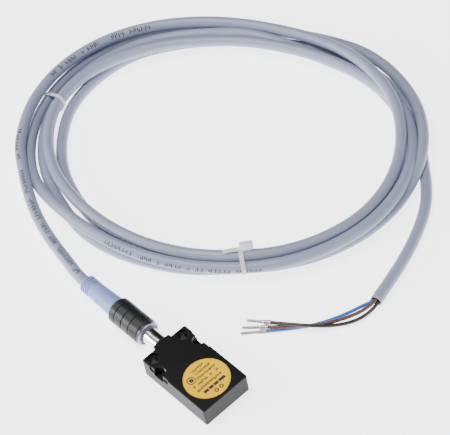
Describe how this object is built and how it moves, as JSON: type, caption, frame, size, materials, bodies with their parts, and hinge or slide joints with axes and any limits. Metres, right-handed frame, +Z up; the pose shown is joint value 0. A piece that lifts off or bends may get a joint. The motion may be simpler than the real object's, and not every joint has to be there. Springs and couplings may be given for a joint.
{
  "type": "proximity sensor",
  "caption": "Flat rectangular proximity sensor with a round top label, two fixing holes, a short rear connector and a plugged-in coiled cable ending in bare cores with ferrules.",
  "frame": {"origin": "midway between the axes of the two fixing holes, on the underside of the housing", "axes": "+X along the housing from the connector towards the front face, +Z up out of the labelled face, +Y completes the right hand and runs along the row of fixing holes"},
  "size_m": [0.1766, 0.1598, 0.013],
  "materials": {
    "housing_black": "fine satin moulding",
    "base_black": "satin",
    "label_yellow": "printed film",
    "nickel": "bright nickel plate",
    "spring_steel": "bright",
    "copper_foil": "etched foil",
    "board_green": "solder mask",
    "chip_black": "moulded",
    "ceramic_tan": "fired",
    "clear_guide": "moulded clear",
    "carrier_white": "satin",
    "resin_grey": "cast",
    "gold_contact": "plated",
    "seal_black": "matt",
    "grip_black": "satin",
    "overmould_blue": "satin",
    "sheath_grey": "satin",
    "core_blue": "smooth",
    "core_brown": "smooth",
    "core_black": "smooth",
    "tinned": "tinned",
    "tie_white": "translucent nylon"
  },
  "bodies": {
    "sensor": {"housing_shell": "housing_black", "base_plate": "base_black", "label_disc": "label_yellow", "sensing_electrode": "copper_foil", "guard_ring": "copper_foil", "electrode_carrier": "carrier_white", "electrode_leads": "tinned", "circuit_board": "board_green", "oscillator_chip": "chip_black", "output_transistor": "chip_black", "regulator_chip": "chip_black", "chip_capacitors": "ceramic_tan", "chip_resistors": "chip_black", "status_led": "clear_guide", "light_guide": "clear_guide", "potting_block": "resin_grey", "connector_barrel": "nickel", "barrel_seal": "seal_black", "contact_carrier": "chip_black", "contact_pins": "gold_contact"},
    "plug": {"socket_insert": "carrier_white", "socket_contacts": "gold_contact", "plug_seal": "seal_black", "plug_body": "overmould_blue", "retaining_ring": "spring_steel", "lead_tube": "sheath_grey", "tail_tube": "sheath_grey", "cable_coil": "sheath_grey", "side_tie": "tie_white", "front_tie": "tie_white", "core_blue": "core_blue", "core_brown": "core_brown", "core_black": "core_black", "ferrule_blue": "tinned", "ferrule_brown": "tinned", "ferrule_black": "tinned"},
    "sleeve": {"coupling_sleeve": "grip_black", "snap_collar": "nickel", "collar_liner": "overmould_blue", "snap_ring": "spring_steel"}
  },
  "joints": [
    {"name": "plug_pull", "type": "slide", "parent": "sensor", "child": "plug", "axis": [-1, 0, 0], "range_m": [0, 0.014]},
    {"name": "sleeve_turn", "type": "hinge", "parent": "plug", "child": "sleeve", "pos_m": [-0.02, 0, 0.00495], "axis": [1, 0, 0], "continuous": true}
  ]
}
